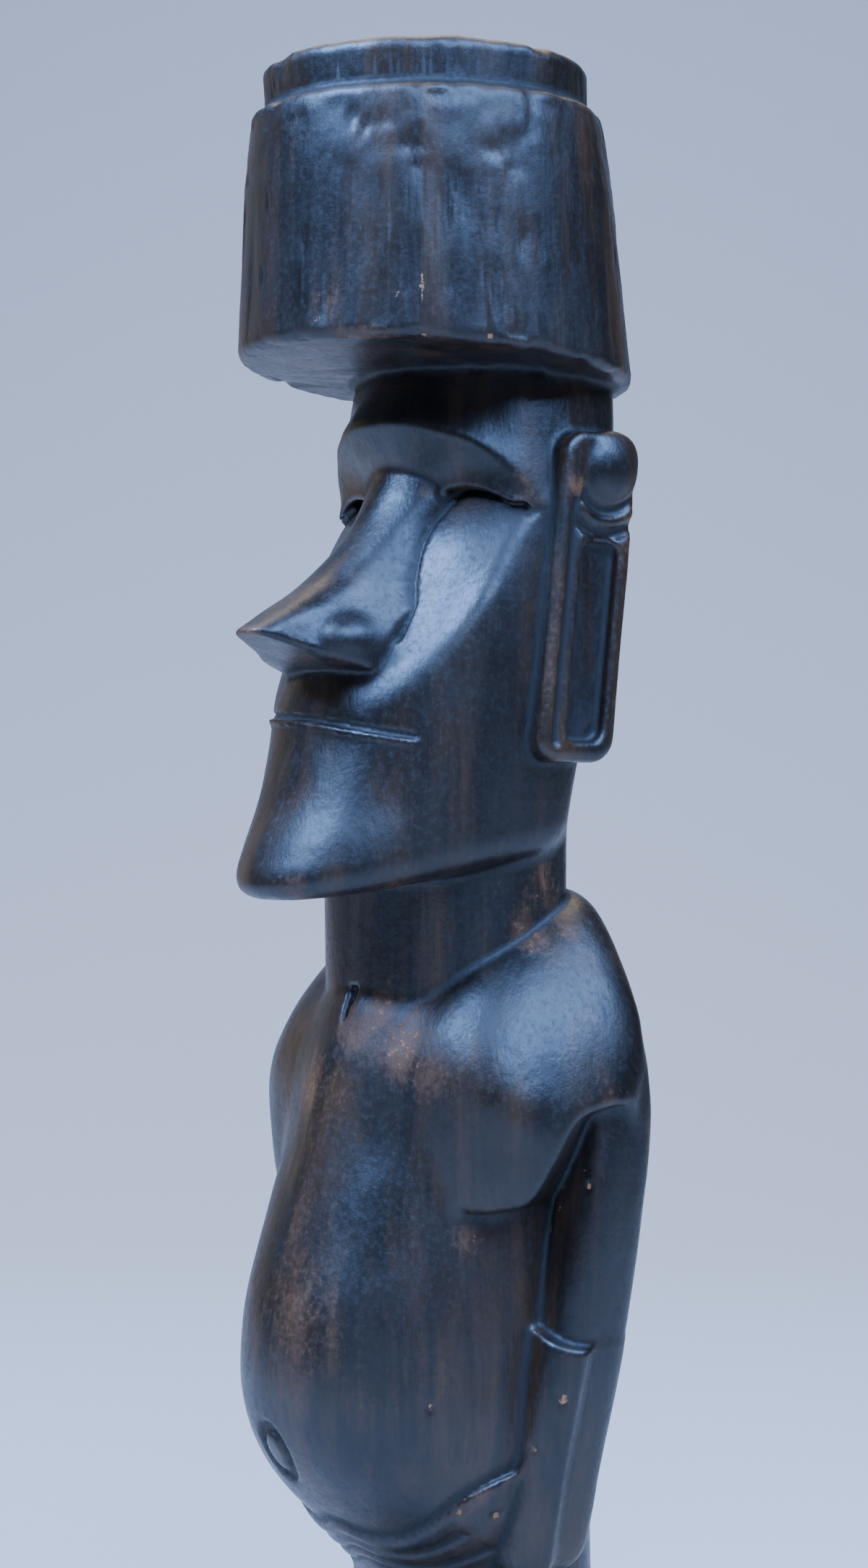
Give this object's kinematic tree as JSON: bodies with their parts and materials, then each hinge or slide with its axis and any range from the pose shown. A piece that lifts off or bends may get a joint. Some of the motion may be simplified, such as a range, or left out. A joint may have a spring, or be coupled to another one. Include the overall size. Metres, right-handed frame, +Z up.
{
  "type": "moai statue",
  "caption": "Dark stained wooden moai figure with a drum hat, long sunk-panel ears and hands joined under a round belly, standing on a low round base.",
  "frame": {"origin": "middle of the underside, on the statue's upright axis", "axes": "+Z up along the statue, -Y toward the way the face looks, +X toward the statue's left hand"},
  "size_m": [0.1138, 0.1122, 0.435],
  "materials": {
    "stained_wood": "satin"
  },
  "bodies": {
    "root": {"moai_statue": "stained_wood"}
  },
  "joints": []
}
